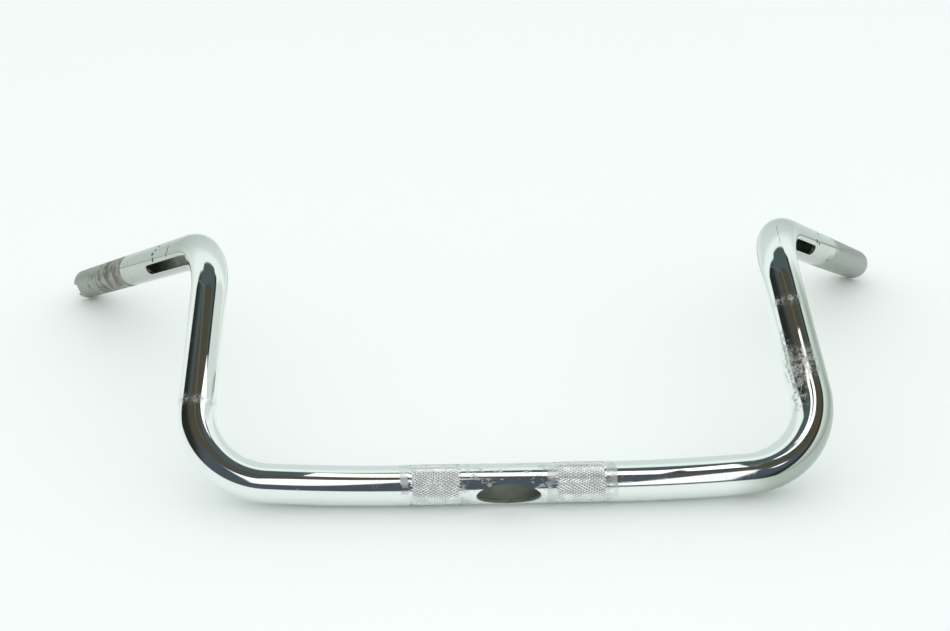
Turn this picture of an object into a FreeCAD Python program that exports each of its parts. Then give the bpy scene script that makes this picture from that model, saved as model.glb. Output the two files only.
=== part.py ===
"""Motorcycle handlebar: one bent steel tube, clamped in the middle, with a grip at each end.

The bar is drawn flat, with its clamp axis along X and its uprights along Y, and is then
leant back about the clamp axis until it rests on the clamp stretch and both grip ends.
The origin is the middle of the clamp axis.
"""
import math
import os

import FreeCAD
import Part
from FreeCAD import Rotation, Vector

# Tube
tube_diameter = 25.4
wall = 2.4
end_chamfer = 0.6

# Centreline of one side, from the middle of the bar outwards
clamp_margin = 1.55
sweep_radius = 1250.0
sweep_angle = 4.0
lower_bend_radius = 50.8
lower_bend_angle = 89.2
upright_straight = 77.8
upper_bend_radius = 50.8
grip_rise = 27.2
grip_pullback = 51.0
grip_straight = 235.0

# Knurled bands that the riser clamps close on
clamp_spacing = 88.9
knurl_count = 43
knurl_rows = 20
knurl_row_step = 1.6
knurl_depth = 0.4

# Wiring slot in the middle, an ellipse
exit_slot_length = 39.6
exit_slot_width = 14.6
exit_slot_turn = 37.5

# Wiring slots beside the upper bends, straight sides and round ends
clutch_slot_length = 65.0
clutch_slot_from_end = 222.5
throttle_slot_length = 82.0
throttle_slot_from_end = 214.0
entry_slot_width = 8.0
entry_slot_turn = 40.0

# Notch in the throttle end of the tube
notch_width = 9.0
notch_depth = 4.0
notch_turn = 48.0

outer_radius = tube_diameter / 2
bore_radius = outer_radius - wall
knurl_length = knurl_rows * knurl_row_step
knurl_start = (clamp_spacing - knurl_length) / 2
knurl_end = (clamp_spacing + knurl_length) / 2
X = Vector(1, 0, 0)
Y = Vector(0, 1, 0)
ORIGIN = Vector(0, 0, 0)


def disc(point, heading, radius):
    """A round face across the tube's line."""
    return Part.Face(Part.Wire(Part.Circle(point, heading, radius).toShape()))


def section(point, heading):
    """The tube's ring section."""
    return disc(point, heading, outer_radius).cut(disc(point, heading, bore_radius)).Faces[0]


def run(point, heading, length):
    """A straight length of tube, and where it ends."""
    return section(point, heading).extrude(heading * length), point + heading * length


def turn(point, heading, inward, radius, angle):
    """A bent length of tube, then where it ends, its heading and its inward side there."""
    centre = point + inward * radius
    axis = heading.cross(inward)
    swing = Rotation(axis, angle)
    solid = section(point, heading).revolve(centre, axis, angle)
    inward_end = swing.multVec(inward)
    return solid, centre - inward_end * radius, swing.multVec(heading), inward_end


def turned(direction, heading, angle):
    """A direction across the tube, turned about the tube's line."""
    return Rotation(heading, angle).multVec(direction)


def knurled_length():
    """A length of tube along X whose outside is staggered rows of four-sided points."""
    root_radius = outer_radius - knurl_depth
    half_step = math.pi / knurl_count
    places = range(2 * knurl_count)

    def spot(row, place, radius):
        angle = place * half_step
        x = knurl_start + row * knurl_row_step
        return Vector(x, radius * math.cos(angle), radius * math.sin(angle))

    faces = []
    for row in range(knurl_rows + 1):
        for place in places:
            if (row + place) % 2 == 0:
                continue
            around = [(row - 1, place), (row, place + 1), (row + 1, place), (row, place - 1)]
            corners = [spot(r, p, root_radius) for r, p in around if 0 <= r <= knurl_rows]
            if len(corners) == 3:
                faces.append(Part.Face(Part.makePolygon(corners + corners[:1])))
                continue
            tip = spot(row, place, outer_radius)
            for one, two in zip(corners, corners[1:] + corners[:1]):
                faces.append(Part.Face(Part.makePolygon([one, two, tip, one])))
    for row in (0, knurl_rows):
        rim = [spot(row, place, root_radius) for place in places if (row + place) % 2 == 0]
        hole = disc(Vector(rim[0].x, 0, 0), X, bore_radius)
        faces.append(Part.Face(Part.makePolygon(rim + rim[:1])).cut(hole).Faces[0])
    faces.append(Part.makeCylinder(bore_radius, knurl_length, X * knurl_start, X).Faces[0])
    shell = Part.makeShell(faces)
    shell.sewShape()
    return Part.makeSolid(shell)


def slot_cutter(centre, along, outward, length, width):
    """A bar with round ends that reaches from the tube's axis out through one wall."""
    across = outward.cross(along)
    straight = (length - width) / 2
    corners = [centre + along * (straight * a) + across * (width / 2 * b)
               for a, b in ((-1, -1), (1, -1), (1, 1), (-1, 1))]
    edges = [
        Part.LineSegment(corners[0], corners[1]).toShape(),
        Part.Arc(corners[1], centre + along * (length / 2), corners[2]).toShape(),
        Part.LineSegment(corners[2], corners[3]).toShape(),
        Part.Arc(corners[3], centre - along * (length / 2), corners[0]).toShape(),
    ]
    return Part.Face(Part.Wire(edges)).extrude(outward * tube_diameter)


def middle_length():
    """The plain tube from the middle to the +X band, with half of the slot that the wiring leaves by.

    The tube's seam runs along the middle of the slot.
    """
    tube, _ = run(ORIGIN, X, knurl_start)
    tube.rotate(ORIGIN, X, 90 - exit_slot_turn)
    outward = turned(-Y, X, -exit_slot_turn)
    rim = Part.Ellipse(X * (exit_slot_length / 2), outward.cross(X) * (exit_slot_width / 2), ORIGIN)
    return tube.cut(Part.Face(Part.Wire(rim.toShape())).extrude(outward * tube_diameter))


def right_side():
    """The bar past the +X clamp band, then its end point, its heading and the upper bend's inside."""
    beside, point = run(X * knurl_end, X, clamp_margin)
    sweep, point, heading, inward = turn(point, X, Y, sweep_radius, sweep_angle)
    lower, point, heading, inward = turn(point, heading, inward, lower_bend_radius, lower_bend_angle)
    upright, point = run(point, heading, upright_straight)

    rise, back = math.radians(grip_rise), math.radians(grip_pullback)
    grip_way = Vector(math.cos(back) * math.cos(rise), math.cos(back) * math.sin(rise), -math.sin(back))
    inward = (grip_way - heading * grip_way.dot(heading)).normalize()
    upper_angle = math.degrees(heading.getAngle(grip_way))
    upper, point, heading, inward = turn(point, heading, inward, upper_bend_radius, upper_angle)
    grip, end = run(point, heading, grip_straight)
    end_rims = [edge for edge in grip.Edges if edge.isClosed() and edge.CenterOfMass.isEqual(end, end_chamfer)]
    grip = grip.makeChamfer(end_chamfer, [max(end_rims, key=lambda edge: edge.Length)])

    return beside.multiFuse([sweep, lower, upright, upper, grip]), end, heading, inward


def entry_slot(end, heading, inward, from_end, length):
    """The cutter for a wiring slot that faces out of the upper bend's inside."""
    way = turned(inward, heading, -entry_slot_turn)
    return slot_cutter(end - heading * from_end, heading, way, length, entry_slot_width)


def end_notch(end, heading, inward):
    """The cutter for the notch in the throttle end."""
    way = turned(inward, heading, -notch_turn)
    return slot_cutter(end, heading, way, 2 * notch_depth + notch_width, notch_width)


def floor_lean(end, heading):
    """The lean about X at which the tube's ends come down level with the clamp stretch."""
    reach = math.hypot(end.y, end.z)
    lean = 0.0
    for _ in range(12):
        end_slope = heading.y * math.sin(lean) + heading.z * math.cos(lean)
        height = outer_radius * (math.sqrt(1 - end_slope ** 2) - 1)
        lean = math.asin(height / reach) - math.atan2(end.z, end.y)
    return math.degrees(lean)


def handlebar():
    """The whole bar as one solid, in its rest pose."""
    side, end, heading, inward = right_side()
    clutch_slot = entry_slot(end, heading, inward, clutch_slot_from_end, clutch_slot_length)
    throttle_slot = entry_slot(end, heading, inward, throttle_slot_from_end, throttle_slot_length)
    clutch_side = side.cut(clutch_slot)
    throttle_side = side.cut(throttle_slot).cut(end_notch(end, heading, inward)).mirror(ORIGIN, X)
    middle = middle_length()
    knurl = knurled_length()
    halves = [middle.mirror(ORIGIN, X), knurl, knurl.mirror(ORIGIN, X), clutch_side, throttle_side]
    bar = middle.multiFuse(halves)
    bar.rotate(ORIGIN, X, floor_lean(end, heading))
    return bar.Solids[0]


os.makedirs("parts", exist_ok=True)
handlebar().exportStep("parts/handlebar_tube.step")
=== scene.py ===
"""Motorcycle handlebar: one bent chromed tube, drawn straight, slotted, and then bent to its shape."""
import math

import bmesh
import bpy
from mathutils import Matrix, Vector


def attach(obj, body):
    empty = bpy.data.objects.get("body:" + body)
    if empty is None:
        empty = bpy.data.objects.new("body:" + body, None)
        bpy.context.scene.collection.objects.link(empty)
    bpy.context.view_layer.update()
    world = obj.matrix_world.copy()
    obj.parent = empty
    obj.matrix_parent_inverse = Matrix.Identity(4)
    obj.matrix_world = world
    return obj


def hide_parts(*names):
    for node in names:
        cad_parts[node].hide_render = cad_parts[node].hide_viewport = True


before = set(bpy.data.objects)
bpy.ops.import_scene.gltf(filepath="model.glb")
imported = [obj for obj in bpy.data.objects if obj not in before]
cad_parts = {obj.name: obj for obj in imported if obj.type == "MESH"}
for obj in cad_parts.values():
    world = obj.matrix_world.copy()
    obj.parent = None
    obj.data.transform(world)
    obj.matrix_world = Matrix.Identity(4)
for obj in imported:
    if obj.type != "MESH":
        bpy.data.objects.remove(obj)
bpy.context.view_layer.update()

# Tube, in metres
OUTER = 0.0127
BORE = 0.0103
END_CHAMFER = 0.0006

# Mesh: faces round the tube, rings in each sweep and bend, and points and side cuts of the slots
AROUND = 128
SWEEP_RINGS = 12
BEND_RINGS = 64
SLOT_POINTS = 64
SLOT_CUTS = 24

# Points closer than this are one, edges sharper than this are crisp, and faces this near the bore are bare
MERGE = 1e-5
CRISP = math.radians(32)
BORE_SKIN = 0.0003

# Lengths along one side of the straight tube, from the middle of the bar outwards
KNURL_START = 0.02845
KNURL_END = 0.06045
CLAMP_END = 0.062
SWEEP_RADIUS = 1.25
SWEEP_ANGLE = math.radians(4.0)
BEND_RADIUS = 0.0508
LOWER_ANGLE = math.radians(89.2)
UPRIGHT = 0.0778
GRIP_RISE = math.radians(27.2)
GRIP_PULLBACK = math.radians(51.0)
GRIP = 0.235
LEAN = math.radians(40.0)

# Knurl: the radius at the foot of its points, points round the tube, rows, and how far tips are worn
KNURL_ROOT = 0.0123
KNURL_COUNT = 43
KNURL_ROWS = 20
TIP_WEAR = 0.00035

# Slots and notch: length, width and turn in degrees, and where the entry slots' middles are from the ends
EXIT_SLOT = (0.0396, 0.0146)
EXIT_TURN = -37.5
CLUTCH_SLOT = (0.065, 0.008)
CLUTCH_FROM_END = 0.2225
THROTTLE_SLOT = (0.082, 0.008)
THROTTLE_FROM_END = 0.214
ENTRY_TURN = -40
NOTCH = (0.017, 0.009)
NOTCH_TURN = -48

# The direction of the grips, and the way the upper bends turn, in the axes of the upright
sweep_end = SWEEP_ANGLE + LOWER_ANGLE
upright_way = Vector((math.cos(sweep_end), math.sin(sweep_end), 0))
upright_side = Vector((-math.sin(sweep_end), math.cos(sweep_end), 0))
grip_reach = math.cos(GRIP_PULLBACK)
grip_way = Vector((
    grip_reach * math.cos(GRIP_RISE),
    grip_reach * math.sin(GRIP_RISE),
    -math.sin(GRIP_PULLBACK),
))
UPPER_ANGLE = upright_way.angle(grip_way)
upper_in = Vector((0, grip_way.dot(upright_side), grip_way.z)).normalized()

# Each stretch of one side: its length, its bend radius (none where straight) and its inward side
STRETCHES = (
    (CLAMP_END, None, None),
    (SWEEP_RADIUS * SWEEP_ANGLE, SWEEP_RADIUS, Vector((0, 1, 0))),
    (BEND_RADIUS * LOWER_ANGLE, BEND_RADIUS, Vector((0, 1, 0))),
    (UPRIGHT, None, None),
    (BEND_RADIUS * UPPER_ANGLE, BEND_RADIUS, upper_in),
    (GRIP, None, None),
)
HALF = sum(length for length, radius, inward in STRETCHES)
FLOOR = -OUTER


def tube_line(run):
    """The axes of the bent tube at a distance from the middle of the bar, before the bar is leant."""
    left = run
    line = Matrix.Identity(4)
    for length, radius, inward in STRETCHES:
        step = min(left, length)
        if radius is None:
            line = line @ Matrix.Translation((step, 0, 0))
        else:
            pivot = inward * radius
            swing = Matrix.Rotation(step / radius, 4, Vector((1, 0, 0)).cross(inward))
            line = line @ Matrix.Translation(pivot) @ swing @ Matrix.Translation(-pivot)
        left -= step
    return line


def bend(bm):
    """Keep each point's place on the straight tube, then move it to the bent bar, leant on the floor."""
    straight = bm.verts.layers.float_vector.new("straight")
    lines = {}
    lean = Matrix.Rotation(LEAN, 3, "X")
    for vert in bm.verts:
        vert[straight] = vert.co
        run = round(abs(vert.co.x), 6)
        if run not in lines:
            lines[run] = tube_line(run)
        spot = lines[run] @ Vector((0, vert.co.y, vert.co.z))
        if vert.co.x < 0:
            spot.x = -spot.x
        vert.co = lean @ spot


def around(direction, degrees):
    """A direction across the straight tube, turned about its line."""
    return Matrix.Rotation(math.radians(degrees), 3, "X") @ direction


EXIT_WAY = around(Vector((0, -1, 0)), EXIT_TURN)
ENTRY_WAY = around(upper_in, ENTRY_TURN)
NOTCH_WAY = around(upper_in, NOTCH_TURN)


def stations():
    """Places of the rings along one side, close together in the bends."""
    marks = [KNURL_START, KNURL_END]
    start = 0.0
    for length, radius, inward in STRETCHES:
        if radius == SWEEP_RADIUS:
            count = SWEEP_RINGS
        elif radius:
            count = BEND_RINGS
        else:
            count = 1
        marks += [start + length * (step + 1) / count for step in range(count)]
        start += length
    return sorted(marks)


def new_piece(name, bm, materials):
    """A mesh object with its finishes."""
    piece = as_object(bm, name)
    for material in materials:
        piece.data.materials.append(material)
    return piece


def push_on(bm, ring, move, grow):
    """The next ring of the tube's skin, moved along X and grown about the axis."""
    new = bmesh.ops.extrude_edge_only(bm, edges=ring)["geom"]
    verts = [item for item in new if isinstance(item, bmesh.types.BMVert)]
    bmesh.ops.translate(bm, verts=verts, vec=(move, 0, 0))
    bmesh.ops.scale(bm, verts=verts, vec=(1, grow, grow))
    fresh = set(verts)
    edges = [item for item in new if isinstance(item, bmesh.types.BMEdge)]
    return [edge for edge in edges if edge.verts[0] in fresh and edge.verts[1] in fresh]


def straight_tube():
    """The tube's closed skin: outside, +X end, bore and -X end, with a low band under each knurl."""
    bm = bmesh.new()
    made = bmesh.ops.create_circle(bm, cap_ends=False, segments=AROUND, radius=OUTER - END_CHAMFER)
    bmesh.ops.rotate(bm, verts=made["verts"], matrix=Matrix.Rotation(math.pi / 2, 3, "Y"))
    bmesh.ops.translate(bm, verts=made["verts"], vec=(-HALF, 0, 0))
    ring = bm.edges[:]
    ring = push_on(bm, ring, END_CHAMFER, OUTER / (OUTER - END_CHAMFER))
    side = stations()
    marks = [-mark for mark in reversed(side[:-1])] + [0.0] + side[:-1] + [HALF - END_CHAMFER]
    place = -HALF + END_CHAMFER
    for mark in marks:
        ring = push_on(bm, ring, mark - place, 1)
        place = mark
        if mark in (-KNURL_END, KNURL_START):
            ring = push_on(bm, ring, 0, KNURL_ROOT / OUTER)
        if mark in (-KNURL_START, KNURL_END):
            ring = push_on(bm, ring, 0, OUTER / KNURL_ROOT)
    ring = push_on(bm, ring, END_CHAMFER, (OUTER - END_CHAMFER) / OUTER)
    ring = push_on(bm, ring, 0, BORE / (OUTER - END_CHAMFER))
    place = HALF
    inner = [mark for index, mark in enumerate(side[:-1]) if index % 3 == 0]
    for mark in list(reversed(inner)) + [-mark for mark in inner] + [-HALF]:
        ring = push_on(bm, ring, mark - place, 1)
        place = mark
    push_on(bm, ring, 0, (OUTER - END_CHAMFER) / BORE)
    bmesh.ops.remove_doubles(bm, verts=bm.verts, dist=MERGE)
    bmesh.ops.recalc_face_normals(bm, faces=bm.faces)
    return bm


def unbent(place):
    """Where a point in line with the grip lies on the straight tube, once it is past the upper bend's end."""
    past = HALF - GRIP - abs(place.x)
    if not 0 < past < BEND_RADIUS:
        return place
    reach = place.dot(upper_in)
    angle = math.atan2(past, BEND_RADIUS - reach)
    rise = BEND_RADIUS - math.hypot(past, BEND_RADIUS - reach)
    moved = place + upper_in * (rise - reach)
    moved.x = math.copysign(HALF - GRIP - BEND_RADIUS * angle, place.x)
    return moved


def slot_cutter(centre, way, length, width, oval=False):
    """A cutter that reaches from the tube's axis out through one wall, with round ends or oval."""
    bm = bmesh.new()
    bmesh.ops.create_circle(bm, cap_ends=True, segments=SLOT_POINTS, radius=width / 2)
    if oval:
        bmesh.ops.scale(bm, verts=bm.verts, vec=(length / width, 1, 1))
    else:
        for sign in (-1, 1):
            half = [vert for vert in bm.verts if vert.co.x * sign > 1e-7]
            bmesh.ops.translate(bm, verts=half, vec=(sign * (length - width) / 2, 0, 0))
        sides = [edge for edge in bm.edges if edge.calc_length() > width / 4]
        bmesh.ops.subdivide_edges(bm, edges=sides, cuts=SLOT_CUTS)
    grown = bmesh.ops.extrude_face_region(bm, geom=bm.faces[:], use_keep_orig=True)["geom"]
    top = [item for item in grown if isinstance(item, bmesh.types.BMVert)]
    bmesh.ops.translate(bm, verts=top, vec=(0, 0, 2 * OUTER))
    axes = Matrix((Vector((1, 0, 0)), way.cross(Vector((1, 0, 0))), way)).transposed()
    bmesh.ops.transform(bm, matrix=axes.to_4x4(), verts=bm.verts)
    bmesh.ops.translate(bm, verts=bm.verts, vec=(centre, 0, 0))
    for vert in bm.verts:
        vert.co = unbent(vert.co)
    bmesh.ops.recalc_face_normals(bm, faces=bm.faces)
    return bm


def cutters():
    """The exit slot, the clutch and throttle slots and the end notch, as one cutter."""
    joined = bmesh.new()
    for one in (
        slot_cutter(0, EXIT_WAY, *EXIT_SLOT, oval=True),
        slot_cutter(HALF - CLUTCH_FROM_END, ENTRY_WAY, *CLUTCH_SLOT),
        slot_cutter(THROTTLE_FROM_END - HALF, ENTRY_WAY, *THROTTLE_SLOT),
        slot_cutter(-HALF, NOTCH_WAY, *NOTCH),
    ):
        mesh = bpy.data.meshes.new("cutter")
        one.to_mesh(mesh)
        one.free()
        joined.from_mesh(mesh)
        bpy.data.meshes.remove(mesh)
    return joined


def as_object(bm, name):
    """A mesh object at the origin."""
    mesh = bpy.data.meshes.new(name)
    bm.to_mesh(mesh)
    bm.free()
    item = bpy.data.objects.new(name, mesh)
    bpy.context.scene.collection.objects.link(item)
    return item


def cut(bm, tools):
    """The straight tube with its slots and notch cut out."""
    tube = as_object(bm, "straight_tube")
    helper = as_object(tools, "cutters")
    modifier = tube.modifiers.new("slots", "BOOLEAN")
    modifier.operation = "DIFFERENCE"
    modifier.solver = "EXACT"
    modifier.object = helper
    bpy.context.view_layer.update()
    done = bpy.data.meshes.new_from_object(tube.evaluated_get(bpy.context.evaluated_depsgraph_get()))
    bpy.data.objects.remove(helper)
    bpy.data.objects.remove(tube)
    result = bmesh.new()
    result.from_mesh(done)
    bpy.data.meshes.remove(done)
    return result


def smooth_and_bend(bm, name, materials):
    """A smooth-shaded piece of the bar, with its crisp edges marked, bent to its place."""
    for edge in bm.edges:
        edge.smooth = edge.is_manifold and edge.calc_face_angle(0) < CRISP
    for face in bm.faces:
        face.smooth = True
    bend(bm)
    return new_piece(name, bm, materials)


def feed(tree, socket, value):
    """Link a socket to another, or give it a fixed value."""
    if isinstance(value, bpy.types.NodeSocket):
        tree.links.new(value, socket)
    else:
        socket.default_value = value


def calc(tree, operation, one, two=0.0):
    """A sum on one or two values."""
    node = tree.nodes.new("ShaderNodeMath")
    node.operation = operation
    feed(tree, node.inputs[0], one)
    feed(tree, node.inputs[1], two)
    return node.outputs[0]


def fade(tree, value, start, end, low=0.0, high=1.0):
    """A value eased from low to high between two places."""
    node = tree.nodes.new("ShaderNodeMapRange")
    node.interpolation_type = "SMOOTHSTEP"
    feed(tree, node.inputs["Value"], value)
    node.inputs["From Min"].default_value = start
    node.inputs["From Max"].default_value = end
    node.inputs["To Min"].default_value = low
    node.inputs["To Max"].default_value = high
    return node.outputs["Result"]


def placed(tree, vector, scale, shift=(0, 0, 0)):
    """A place, scaled and shifted."""
    node = tree.nodes.new("ShaderNodeMapping")
    feed(tree, node.inputs["Vector"], vector)
    node.inputs["Location"].default_value = shift
    node.inputs["Scale"].default_value = scale
    return node.outputs["Vector"]


def noise(tree, vector, scale, detail=3.0, rough=0.55, shift=(0, 0, 0)):
    """Even noise; scale is its grain per metre along and across the tube."""
    node = tree.nodes.new("ShaderNodeTexNoise")
    feed(tree, node.inputs["Vector"], placed(tree, vector, scale, shift))
    node.inputs["Scale"].default_value = 1.0
    node.inputs["Detail"].default_value = detail
    node.inputs["Roughness"].default_value = rough
    return node.outputs["Fac"]


def blend(tree, amount, one, two):
    """One colour laid over another."""
    node = tree.nodes.new("ShaderNodeMix")
    node.data_type = "RGBA"
    feed(tree, node.inputs["Factor"], amount)
    feed(tree, node.inputs[6], one)
    feed(tree, node.inputs[7], two)
    return node.outputs[2]


def straight_place(tree):
    """A point's place on the straight tube, and its run along the tube."""
    node = tree.nodes.new("ShaderNodeAttribute")
    node.attribute_name = "straight"
    split = tree.nodes.new("ShaderNodeSeparateXYZ")
    tree.links.new(node.outputs["Vector"], split.inputs[0])
    return node.outputs["Vector"], split.outputs[0]


def spot(tree, place, run, angle, length, width, edge, ragged):
    """A patch of wear on the tube: its run, its angle around the tube, its half length and half width."""
    turn = math.radians(angle)
    centre = Vector((run, OUTER * math.cos(turn), OUTER * math.sin(turn)))
    size = Vector((1 / length, 1 / width, 1 / width))
    local = placed(tree, place, size, [-c * k for c, k in zip(centre, size)])
    node = tree.nodes.new("ShaderNodeVectorMath")
    node.operation = "LENGTH"
    tree.links.new(local, node.inputs[0])
    reach = calc(tree, "ADD", node.outputs["Value"], ragged)
    return fade(tree, reach, 1.0, 1.0 - edge)


def new_material(name, color, metallic, roughness):
    """A plain finish, its nodes and its shader."""
    material = bpy.data.materials.new(name)
    material.use_nodes = True
    shader = material.node_tree.nodes["Principled BSDF"]
    shader.inputs["Base Color"].default_value = (*color, 1)
    shader.inputs["Metallic"].default_value = metallic
    shader.inputs["Roughness"].default_value = roughness
    return material, material.node_tree, shader


def bump(tree, shader, height, distance):
    """Fine relief on a finish."""
    node = tree.nodes.new("ShaderNodeBump")
    node.inputs["Strength"].default_value = 1.0
    node.inputs["Distance"].default_value = distance
    feed(tree, node.inputs["Height"], height)
    tree.links.new(node.outputs["Normal"], shader.inputs["Normal"])


def most(tree, masks):
    """The strongest of several masks."""
    top = masks[0]
    for mask in masks[1:]:
        top = calc(tree, "MAXIMUM", top, mask)
    return top


def facing(tree, place, angle):
    """How far the tube's side faces an angle around it, from -1 to 1."""
    turn = math.radians(angle)
    node = tree.nodes.new("ShaderNodeVectorMath")
    node.operation = "DOT_PRODUCT"
    tree.links.new(place, node.inputs[0])
    node.inputs[1].default_value = (0, math.cos(turn) / OUTER, math.sin(turn) / OUTER)
    return node.outputs["Value"]


def band(tree, run, centre, half, edge, wander):
    """A ring round the tube."""
    away = calc(tree, "ABSOLUTE", calc(tree, "SUBTRACT", run, centre))
    return fade(tree, calc(tree, "ADD", away, wander), half, half - edge)


# Small dark marks: run along the tube, angle around it, half length and half width, in metres and degrees
NICKS = (
    (-0.4188, 142, 0.0032, 0.0017), (-0.4176, 162, 0.0022, 0.0026), (-0.4148, 129, 0.0022, 0.0012),
    (-0.4123, 115, 0.0030, 0.0010), (-0.3893, 140, 0.0011, 0.0038), (-0.3912, 158, 0.0010, 0.0028),
    (0.4307, 126, 0.0030, 0.0015), (0.4182, 159, 0.0036, 0.0018), (0.4252, 164, 0.0030, 0.0013),
    (0.4692, 206, 0.0022, 0.0014),
)

# A fine scratch, as a row of such marks
SCRATCH = (
    (0.3415, 77.0, 0.0042, 0.0005), (0.3355, 80.5, 0.0042, 0.0004), (0.3292, 84.5, 0.0042, 0.0004),
)

# Rings round the tube, by their run along it: scuffs beside the clamps, and fine arcs beside the grips
CLAMP_RINGS = (-0.0632, -0.0262, 0.0262, 0.0632)
GRIP_ARCS = (-0.4842, -0.4800, -0.4722, 0.4520)

# Colours of the bar
# The grips' colour: a dull film, darkened further with painted shade
PLATE = (0.90, 0.93, 0.92, 1)
GRIP_FILM_AND_SHADE = (0.42, 0.46, 0.43, 1)
FILM = (0.36, 0.42, 0.37, 1)
SATIN = (0.305, 0.345, 0.305, 1)
STAIN = (0.20, 0.165, 0.130, 1)
SCUFF = (0.60, 0.64, 0.62, 1)
GRIME = (0.27, 0.28, 0.23, 1)
NICK = (0.10, 0.11, 0.10, 1)
BORE_PLAIN = (0.75, 0.79, 0.72)
BORE_DARK = (0.50, 0.54, 0.47, 1)
BORE_LIGHT = (0.74, 0.79, 0.71, 1)
BORE_RUST = (0.30, 0.21, 0.13, 1)
# Painted shade for the bore towards the middle of the bar
BORE_MIDDLE_SHADE = (0.20, 0.23, 0.19, 1)
KNURL_PLAIN = (0.74, 0.77, 0.75)
KNURL_TIP = (0.95, 0.97, 0.96, 1)
KNURL_GROOVE = (0.52, 0.55, 0.51, 1)


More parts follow.
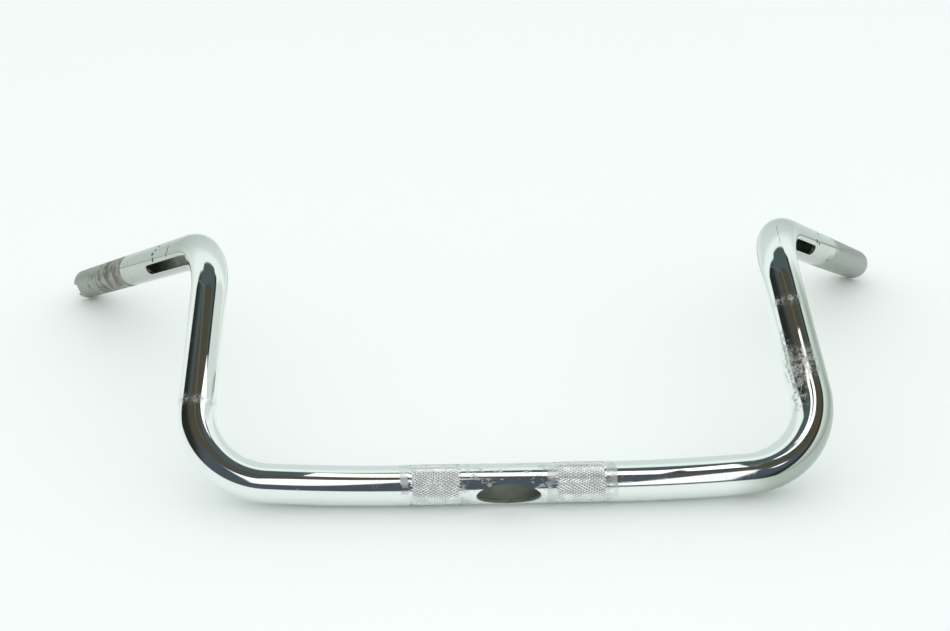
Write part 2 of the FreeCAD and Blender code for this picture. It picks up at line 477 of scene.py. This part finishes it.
def worn_chrome():
    """Bright plate, dulled, darkened with painted shade and stained where the grips sat, and scuffed where
    clamps and hands wore it.
    """
    material, tree, shader = new_material("worn_chrome", PLATE[:3], 1.0, 0.05)
    place, run = straight_place(tree)
    coarse = calc(tree, "SUBTRACT", noise(tree, place, (90, 90, 90), 4.0, 0.6), 0.5)
    fine = calc(tree, "SUBTRACT", noise(tree, place, (700, 700, 700), 4.0, 0.65), 0.5)

    # Satin ends: a sharp border on the throttle side, a soft slanting one on the clutch side
    wander = calc(tree, "MULTIPLY", fine, 0.0025)
    throttle_end = fade(tree, calc(tree, "ADD", run, wander), -HALF + 0.1196, -HALF + 0.1186)
    slant = fade(tree, facing(tree, place, 235), 0.35, 0.90, 0.0, 0.021)
    drift = calc(tree, "ADD", calc(tree, "ADD", run, slant), calc(tree, "MULTIPLY", coarse, 0.035))
    clutch_end = fade(tree, drift, HALF - 0.136, HALF - 0.112)
    satin = most(tree, [throttle_end, clutch_end])

    # Brown staining on the throttle end, heaviest beside its border
    smear = noise(tree, place, (85, 60, 60), 7.0, 0.75)
    heavy = fade(tree, run, -HALF + 0.015, -HALF + 0.112, 0.05, -0.06)
    stain = fade(tree, calc(tree, "SUBTRACT", smear, heavy), 0.46, 0.60)
    stain = calc(tree, "MULTIPLY", stain, throttle_end)

    # Scuffs beside the knurled bands, between them, and where the bends start
    broken = fade(tree, noise(tree, place, (60, 130, 130), 4.0, 0.65, (0.3, 0.1, 0.8)), 0.40, 0.60)
    sway = calc(tree, "MULTIPLY", coarse, 0.006)
    rings = most(tree, [band(tree, run, centre, 0.0036, 0.0014, sway) for centre in CLAMP_RINGS])
    rings = calc(tree, "MULTIPLY", rings, broken)
    patches = noise(tree, place, (150, 240, 240), 5.0, 0.7, (0.3, 0.1, 0.8))
    between = fade(tree, calc(tree, "ABSOLUTE", run), 0.029, 0.025)
    patches = calc(tree, "MULTIPLY", fade(tree, patches, 0.54, 0.62), between)
    haze = fade(tree, noise(tree, place, (330, 420, 420), 5.0, 0.7, (0.9, 0.4, 0.2)), 0.35, 0.64)
    faced = fade(tree, facing(tree, place, 88), 0.1, 0.75)
    dies = most(tree, [
        band(tree, run, -0.2282, 0.0056, 0.0056, sway),
        calc(tree, "MULTIPLY", faced, band(tree, run, 0.2875, 0.0062, 0.0062, sway)),
        calc(tree, "MULTIPLY", faced, band(tree, run, 0.2440, 0.0180, 0.0150, sway)),
    ])
    dies = calc(tree, "MULTIPLY", dies, haze)
    scuff = most(tree, [calc(tree, "MULTIPLY", rings, 0.9), patches, calc(tree, "MULTIPLY", dies, 0.6)])

    # Fine scratches and ring marks in the plate
    lines = noise(tree, place, (45, 2400, 2400), 2.0, 0.5)
    hatch = noise(tree, place, (2000, 240, 240), 2.0, 0.5, (0.2, 0.6, 0.1))
    scratch = most(tree, [fade(tree, lines, 0.66, 0.74), fade(tree, hatch, 0.68, 0.76)])
    scratch = calc(tree, "MULTIPLY", scratch, fade(tree, coarse, 0.02, 0.2))
    arcs = most(tree, [band(tree, run, centre, 0.0005, 0.0003, calc(tree, "MULTIPLY", coarse, 0.0015))
                       for centre in GRIP_ARCS])
    arcs = calc(tree, "MULTIPLY", arcs, broken)

    # Nicks, a scratch on the clutch side's upper bend, and grime on the inside of its upright
    jag = calc(tree, "MULTIPLY", fine, 1.4)
    nicks = most(tree, [spot(tree, place, *nick, 0.5, jag) for nick in NICKS])
    fine_cut = most(tree, [spot(tree, place, *cut_line, 0.6, 0.0) for cut_line in SCRATCH])
    nicks = most(tree, [nicks, calc(tree, "MULTIPLY", fine_cut, 0.5)])
    crumbs = fade(tree, noise(tree, place, (260, 320, 320), 5.0, 0.7, (0.5, 0.3, 0.6)), 0.44, 0.60)
    grime = spot(tree, place, 0.2380, 34, 0.0380, 0.0095, 0.8, calc(tree, "MULTIPLY", coarse, 1.2))
    grime = calc(tree, "MULTIPLY", grime, crumbs)

    # Plate dulled by handling on the grips and the outside of the clutch side's upright; on the grips its
    # colour also carries painted shade
    grips = fade(tree, calc(tree, "ABSOLUTE", run), HALF - GRIP - 0.05, HALF - GRIP, 0.0, 0.8)
    outside = calc(tree, "MULTIPLY", fade(tree, facing(tree, place, 172), 0.38, 0.68),
                   band(tree, run, 0.2250, 0.0950, 0.0350, sway))
    color = blend(tree, grips, PLATE, GRIP_FILM_AND_SHADE)
    color = blend(tree, calc(tree, "MULTIPLY", outside, 0.85), color, FILM)
    color = blend(tree, satin, color, SATIN)
    color = blend(tree, calc(tree, "MULTIPLY", stain, 0.85), color, STAIN)
    color = blend(tree, calc(tree, "MULTIPLY", scuff, 0.7), color, SCUFF)
    color = blend(tree, calc(tree, "MULTIPLY", grime, 0.85), color, GRIME)
    color = blend(tree, most(tree, [nicks, calc(tree, "MULTIPLY", arcs, 0.7)]), color, NICK)
    tree.links.new(color, shader.inputs["Base Color"])
    rough = most(tree, [
        calc(tree, "MULTIPLY", satin, 0.27),
        calc(tree, "MULTIPLY", scuff, 0.32),
        calc(tree, "MULTIPLY", dies, 0.45),
        calc(tree, "MULTIPLY", stain, 0.50),
        calc(tree, "MULTIPLY", grime, 0.50),
        calc(tree, "MULTIPLY", nicks, 0.45),
        calc(tree, "MULTIPLY", scratch, 0.22),
    ])
    plate = calc(tree, "ADD", fade(tree, coarse, -0.2, 0.2, 0.03, 0.07), calc(tree, "MULTIPLY", grips, 0.05))
    tree.links.new(calc(tree, "ADD", rough, plate), shader.inputs["Roughness"])
    grain = calc(tree, "MULTIPLY", fine, calc(tree, "MULTIPLY", satin, 0.6))
    pits = calc(tree, "ADD", calc(tree, "MULTIPLY", scratch, -0.4), calc(tree, "MULTIPLY", nicks, -1.5))
    bump(tree, shader, calc(tree, "ADD", grain, pits), 0.00004)
    return material


def bore_steel():
    """The bare inside of the tube, dull, grey-green and a little rusty, with painted shade darkening it
    towards the middle.
    """
    material, tree, shader = new_material("bore_steel", BORE_PLAIN, 0.0, 0.6)
    place, run = straight_place(tree)
    mottle = noise(tree, place, (120, 160, 160), 5.0, 0.65)
    rust = fade(tree, noise(tree, place, (50, 90, 90), 4.0, 0.6, (0.4, 0.9, 0.2)), 0.55, 0.75)
    color = blend(tree, fade(tree, mottle, 0.3, 0.7), BORE_DARK, BORE_LIGHT)
    color = blend(tree, calc(tree, "MULTIPLY", rust, 0.5), color, BORE_RUST)
    # Painted shade: the bore's colour darkens towards the middle of the bar, behind the exit slot
    middle = fade(tree, calc(tree, "ABSOLUTE", run), 0.12, 0.03, 0.0, 0.55)
    color = blend(tree, middle, color, BORE_MIDDLE_SHADE)
    tree.links.new(color, shader.inputs["Base Color"])
    tree.links.new(fade(tree, mottle, 0.3, 0.7, 0.50, 0.70), shader.inputs["Roughness"])
    bump(tree, shader, mottle, 0.0001)
    return material


def knurl_chrome():
    """The plate on the points, bright on their tips and grey in the grooves."""
    material, tree, shader = new_material("knurl_chrome", KNURL_PLAIN, 1.0, 0.18)
    place = straight_place(tree)[0]
    depth = tree.nodes.new("ShaderNodeVectorMath")
    depth.operation = "LENGTH"
    tree.links.new(placed(tree, place, (0, 1, 1)), depth.inputs[0])
    groove = fade(tree, depth.outputs["Value"], 0.01256, 0.01234)
    mottle = noise(tree, place, (160, 160, 160), 4.0, 0.6)
    grime = calc(tree, "MULTIPLY", groove, fade(tree, mottle, 0.34, 0.66, 0.15, 0.9))
    color = blend(tree, grime, KNURL_TIP, KNURL_GROOVE)
    tree.links.new(color, shader.inputs["Base Color"])
    tree.links.new(fade(tree, mottle, 0.3, 0.7, 0.14, 0.30), shader.inputs["Roughness"])
    return material


chrome_plate = worn_chrome()
bore_metal = bore_steel()
tube = cut(straight_tube(), cutters())
for face in tube.faces:
    middle = face.calc_center_median()
    face.material_index = 1 if math.hypot(middle.y, middle.z) < BORE + BORE_SKIN else 0
bar = smooth_and_bend(tube, "bar", [chrome_plate, bore_metal])
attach(bar, "root")
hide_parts("handlebar_tube")


def knurl_band(name, side):
    """A sleeve of staggered four-sided points, worn flat at their tips."""
    bm = bmesh.new()
    made = bmesh.ops.create_circle(bm, cap_ends=False, segments=2 * KNURL_COUNT, radius=KNURL_ROOT)
    bmesh.ops.rotate(bm, verts=made["verts"], matrix=Matrix.Rotation(math.pi / 2, 3, "Y"))
    bmesh.ops.translate(bm, verts=made["verts"], vec=(KNURL_START, 0, 0))
    ring = bm.edges[:]
    step = (KNURL_END - KNURL_START) / KNURL_ROWS
    for _ in range(KNURL_ROWS):
        ring = push_on(bm, ring, step, 1)
    tips = []
    roots = []
    for vert in bm.verts:
        row = round((vert.co.x - KNURL_START) / step)
        place = round(math.atan2(vert.co.z, vert.co.y) / math.pi * KNURL_COUNT)
        raised = (row + place) % 2 and 0 < row < KNURL_ROWS
        (tips if raised else roots).append(vert)
    bmesh.ops.scale(bm, verts=tips, vec=(1, OUTER / KNURL_ROOT, OUTER / KNURL_ROOT))
    bmesh.ops.connect_verts(bm, verts=roots)
    bmesh.ops.bevel(bm, geom=tips, offset=TIP_WEAR, offset_type="OFFSET", segments=1, profile=0.5,
                    affect="VERTICES", material=-1)
    bmesh.ops.recalc_face_normals(bm, faces=bm.faces)
    bmesh.ops.scale(bm, verts=bm.verts, vec=(side, 1, 1))
    if side < 0:
        bmesh.ops.reverse_faces(bm, faces=bm.faces)
    return smooth_and_bend(bm, name, [knurl_plate])


knurl_plate = knurl_chrome()
for name, side in (("knurl_band_right", 1), ("knurl_band_left", -1)):
    sleeve = knurl_band(name, side)
    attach(sleeve, "root")


# Floor: its colours, and half its width
FLOOR_COLOR = (0.93, 0.965, 0.955, 1)
# Painted reflection: a darker far floor and a dark line behind the bar, seen only by glossy rays
FLOOR_FAR_REFLECTED = (0.76, 0.83, 0.795, 1)
FLOOR_REFLECTED_LINE = (0.32, 0.37, 0.33, 1)
FLOOR_HALF = 6


def floor_sheet():
    """A plain pale floor; only in reflections in the metal does it carry a painted dark line behind the bar,
    and painted darker floor past that.
    """
    bm = bmesh.new()
    bmesh.ops.create_grid(bm, x_segments=1, y_segments=1, size=FLOOR_HALF)
    bmesh.ops.translate(bm, verts=bm.verts, vec=(0, 0, FLOOR))
    material, tree, shader = new_material("pale_floor", FLOOR_COLOR[:3], 0.0, 0.6)
    split = tree.nodes.new("ShaderNodeSeparateXYZ")
    tree.links.new(tree.nodes.new("ShaderNodeTexCoord").outputs["Object"], split.inputs[0])
    back = split.outputs[1]
    reflected_floor = blend(tree, fade(tree, back, 0.44, 0.46), FLOOR_COLOR, FLOOR_FAR_REFLECTED)
    reflected_line = calc(tree, "MULTIPLY", fade(tree, back, 0.41, 0.435), fade(tree, back, 0.475, 0.45))
    reflected_floor = blend(tree, reflected_line, reflected_floor, FLOOR_REFLECTED_LINE)
    # Glossy rays see the painted reflection; all other rays see the plain floor
    rays = tree.nodes.new("ShaderNodeLightPath")
    color = blend(tree, rays.outputs["Is Glossy Ray"], FLOOR_COLOR, reflected_floor)
    tree.links.new(color, shader.inputs["Base Color"])
    new_piece("floor", bm, [material])


floor_sheet()


# Camera: place in metres, yaw, pitch and roll in radians, and its lens in pixels of the picture
CAMERA_PLACE = (-0.07178, -0.5538, 0.3834)
CAMERA_TURN = (-0.0335, -0.4549, -0.0393)
SENSOR = 36
PICTURE_WIDTH = 950
FOCAL_PIXELS = 1066.4
SHIFT_RIGHT_PIXELS = 119.9
SHIFT_UP_PIXELS = 9.1


def camera():
    """The view of the photograph."""
    data = bpy.data.cameras.new("camera")
    eye = bpy.data.objects.new("camera", data)
    bpy.context.scene.collection.objects.link(eye)
    yaw, pitch, roll = CAMERA_TURN
    ahead = Vector((math.sin(yaw) * math.cos(pitch), math.cos(yaw) * math.cos(pitch), math.sin(pitch)))
    level = Vector((math.cos(yaw), -math.sin(yaw), 0))
    above = level.cross(ahead)
    right = math.cos(roll) * level + math.sin(roll) * above
    up = -math.sin(roll) * level + math.cos(roll) * above
    turn = Matrix((right, up, -ahead)).transposed()
    eye.matrix_world = Matrix.Translation(CAMERA_PLACE) @ turn.to_4x4()
    data.sensor_width = SENSOR
    data.lens = SENSOR * FOCAL_PIXELS / PICTURE_WIDTH
    data.shift_x = SHIFT_RIGHT_PIXELS / PICTURE_WIDTH
    data.shift_y = SHIFT_UP_PIXELS / PICTURE_WIDTH
    data.clip_start = 0.01
    bpy.context.scene.camera = eye


camera()


# Colours of the room
PALE_LIGHT = (1.02, 1.05, 1.04, 1)
WALL = (0.88, 0.95, 0.92, 1)
WALL_BEHIND = (0.68, 0.76, 0.73, 1)
WALL_BESIDE = (0.52, 0.59, 0.53, 1)
OPENING_WARM = (0.074, 0.068, 0.046, 1)
OPENING_COOL = (0.072, 0.100, 0.104, 1)
OPENING_FRONT = (0.072, 0.090, 0.106, 1)
OPENING_BLACK = (0.019, 0.022, 0.020, 1)
OPENING_STREAK = (0.15, 0.165, 0.15, 1)
LIT_PANEL = (1.30, 1.33, 1.32, 1)
SMALL_LIGHT_WAY = (0.44, -0.585, 0.68)


def room():
    """Plain pale light, and for bright metal a pale room with a dark opening overhead and in front."""
    world = bpy.data.worlds.new("studio")
    bpy.context.scene.world = world
    world.use_nodes = True
    tree = world.node_tree
    way = tree.nodes.new("ShaderNodeTexCoord").outputs["Generated"]
    split = tree.nodes.new("ShaderNodeSeparateXYZ")
    tree.links.new(way, split.inputs[0])
    x, y, z = split.outputs

    def lean_to(a, b, c):
        """How far a direction leans to one side."""
        one = calc(tree, "MULTIPLY", x, a)
        two = calc(tree, "MULTIPLY", y, b)
        return calc(tree, "ADD", calc(tree, "ADD", one, two), calc(tree, "MULTIPLY", z, c))

    def least(values):
        """The lowest of several values."""
        low = values[0]
        for value in values[1:]:
            low = calc(tree, "MINIMUM", low, value)
        return low

    def window(edges):
        """A lit or dark patch between edges, each a value, where it starts and where it is full."""
        return least([fade(tree, value, out, full) for value, out, full in edges])

    # Where the dark opening is, in directions from the bar
    rise = calc(tree, "ARCTAN2", z, calc(tree, "MULTIPLY", y, -1.0))
    far_left = calc(tree, "MAXIMUM", lean_to(-0.6, 0, 0), 0.3)
    behind = calc(tree, "ADD", lean_to(0, -1, 0.42), calc(tree, "SUBTRACT", far_left, 0.3))
    right = lean_to(-1, -0.6, 0.78)
    left = lean_to(1, 2, 1)
    neck = fade(tree, calc(tree, "ABSOLUTE", x), 0.50, 0.36, 0.0, 0.10)
    dark = window([(calc(tree, "ADD", behind, neck), 0.12, 0.20), (right, -0.16, -0.04), (z, 0.0, 0.05)])
    front = fade(tree, y, -0.35, -0.60)

    # Its colour: warm and cool overhead, blue in front, black at its sides, with one pale streak
    depth = calc(tree, "MAXIMUM", fade(tree, x, -0.85, -0.50), front)
    depth = calc(tree, "MINIMUM", depth, fade(tree, right, 0.0, 0.22))
    hue = blend(tree, fade(tree, behind, 0.62, 0.54), OPENING_WARM, OPENING_COOL)
    hue = blend(tree, front, hue, OPENING_FRONT)
    shade = blend(tree, depth, OPENING_BLACK, hue)
    streak = window([(left, 0.16, 0.23), (left, 0.31, 0.24), (y, -0.5, -0.3)])
    shade = blend(tree, calc(tree, "MULTIPLY", streak, 0.6), shade, OPENING_STREAK)

    # Pale walls round it
    walls = blend(tree, fade(tree, y, 0.50, 0.72), WALL, WALL_BEHIND)
    beside = fade(tree, lean_to(1, -0.6, 0), 0.56, 0.74, 0.0, 0.6)
    walls = blend(tree, beside, walls, WALL_BESIDE)
    shown = blend(tree, dark, walls, shade)

    # Two lit panels in front, each with slanting edges, and a small light
    low = fade(tree, x, -0.13, 0.09, 0.46, 1.0)
    high = fade(tree, x, -0.17, -0.08, 0.99, 1.15)
    left_box = window([
        (calc(tree, "SUBTRACT", rise, low), 0.0, 0.12),
        (calc(tree, "SUBTRACT", high, rise), 0.0, 0.06),
        (x, 0.10, 0.04),
        (x, -0.30, -0.24),
    ])
    top = fade(tree, x, 0.20, 0.33, 0.45, 0.98)
    right_box = window([
        (calc(tree, "SUBTRACT", top, rise), 0.0, 0.12),
        (rise, 0.10, 0.24),
        (x, 0.165, 0.225),
        (x, 0.352, 0.342),
    ])
    gap = tree.nodes.new("ShaderNodeVectorMath")
    gap.operation = "DISTANCE"
    tree.links.new(way, gap.inputs[0])
    gap.inputs[1].default_value = SMALL_LIGHT_WAY
    lit = most(tree, [left_box, right_box, fade(tree, gap.outputs["Value"], 0.055, 0.025)])
    shown = blend(tree, lit, shown, LIT_PANEL)

    rays = tree.nodes.new("ShaderNodeLightPath")
    back = tree.nodes["Background"]
    color = blend(tree, rays.outputs["Is Glossy Ray"], PALE_LIGHT, shown)
    tree.links.new(color, back.inputs["Color"])
    back.inputs["Strength"].default_value = 1.0


def lamp(name, place, target, size, power, turn):
    """A flat lamp that shows only in bright metal, turned about the upright axis."""
    data = bpy.data.lights.new(name, "AREA")
    data.shape = "RECTANGLE"
    data.size, data.size_y = size
    data.energy = power
    item = bpy.data.objects.new(name, data)
    bpy.context.scene.collection.objects.link(item)
    item.location = place
    aim = (Vector(target) - Vector(place)).to_track_quat("-Z", "Y").to_matrix()
    item.rotation_euler = (Matrix.Rotation(math.radians(turn), 3, "Z") @ aim).to_euler()
    item.visible_camera = False
    item.visible_diffuse = False


room()

# Lamps: place, target, size, power and turn
lamp("clamp_light_left", (0.003, -0.018, 0.150), (0.003, -0.018, 0), (0.270, 0.056), 0.0617, -11.3)
lamp("clamp_light_right", (0.155, -0.008, 0.150), (0.155, -0.008, 0), (0.058, 0.016), 0.0038, 32)
lamp("upright_light", (0.205, -0.05, 0.29), (0.195, 0.031, 0.055), (0.05, 0.07), 0.0154, 0)
bpy.context.scene.view_settings.view_transform = "Standard"
